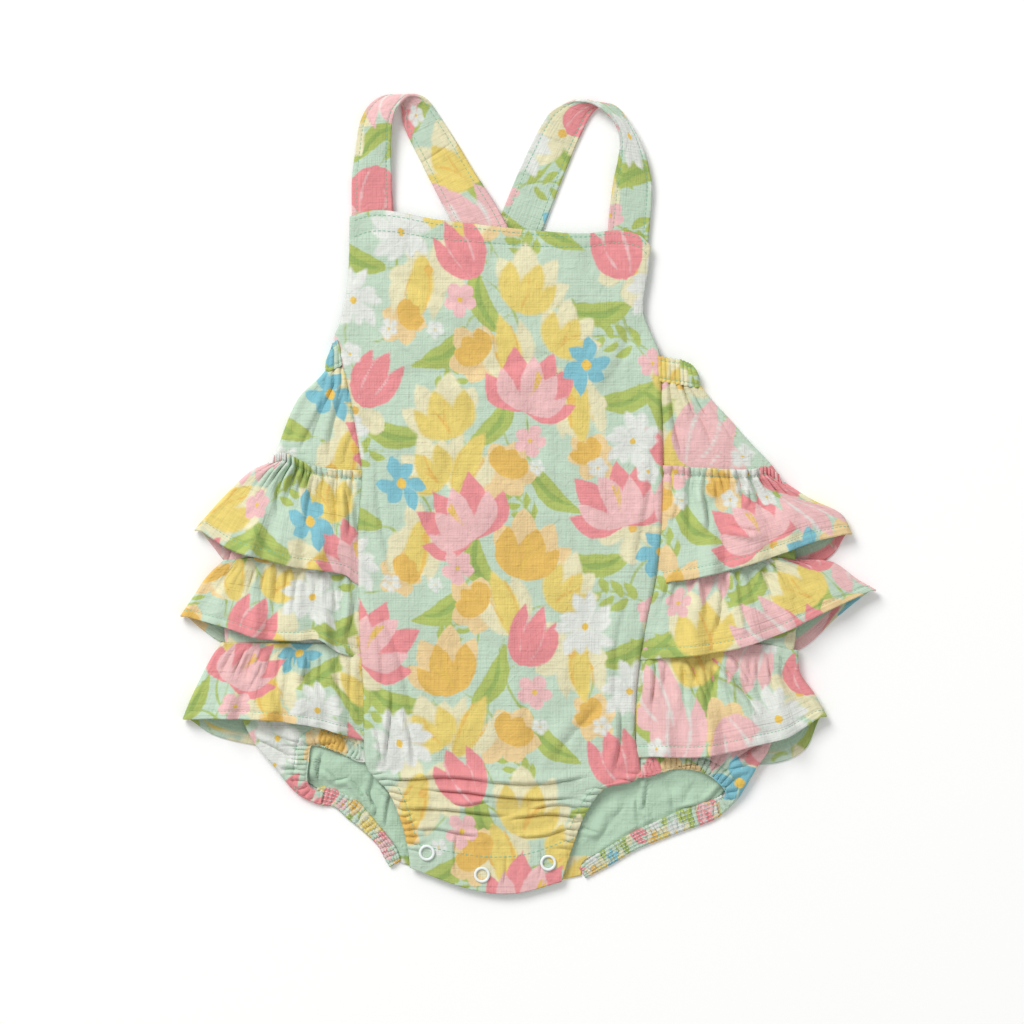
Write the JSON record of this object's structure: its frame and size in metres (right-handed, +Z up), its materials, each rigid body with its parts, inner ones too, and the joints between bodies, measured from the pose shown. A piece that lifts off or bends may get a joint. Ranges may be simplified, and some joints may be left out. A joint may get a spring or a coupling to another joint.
{
  "type": "baby romper",
  "caption": "Sleeveless baby romper in crinkled cotton, laid flat: bib front, crossed shoulder straps, gathered side tiers, elastic leg openings and a snap crotch.",
  "frame": {"origin": "centre of the bounding box, on the surface that the garment lies on", "axes": "+Y towards the shoulder straps, +X to the viewer's right, +Z up out of the surface, with the garment's front facing up"},
  "size_m": [0.3894, 0.447, 0.0154],
  "materials": {
    "printed_muslin": "crinkled double-layer cotton muslin with a small floral print, matt",
    "snap_plastic": "pearly moulded snap"
  },
  "bodies": {
    "root": {"centre_front": "printed_muslin", "side_front_left": "printed_muslin", "side_front_right": "printed_muslin", "back_panel": "printed_muslin", "top_casing": "printed_muslin", "ruffle_upper": "printed_muslin", "ruffle_middle": "printed_muslin", "ruffle_lower": "printed_muslin", "strap_left": "printed_muslin", "strap_right": "printed_muslin", "leg_band_left": "printed_muslin", "leg_band_right": "printed_muslin", "snap_ring_1": "snap_plastic", "snap_stud_1": "snap_plastic", "snap_ring_2": "snap_plastic", "snap_stud_2": "snap_plastic", "snap_ring_3": "snap_plastic", "snap_stud_3": "snap_plastic"}
  },
  "joints": []
}
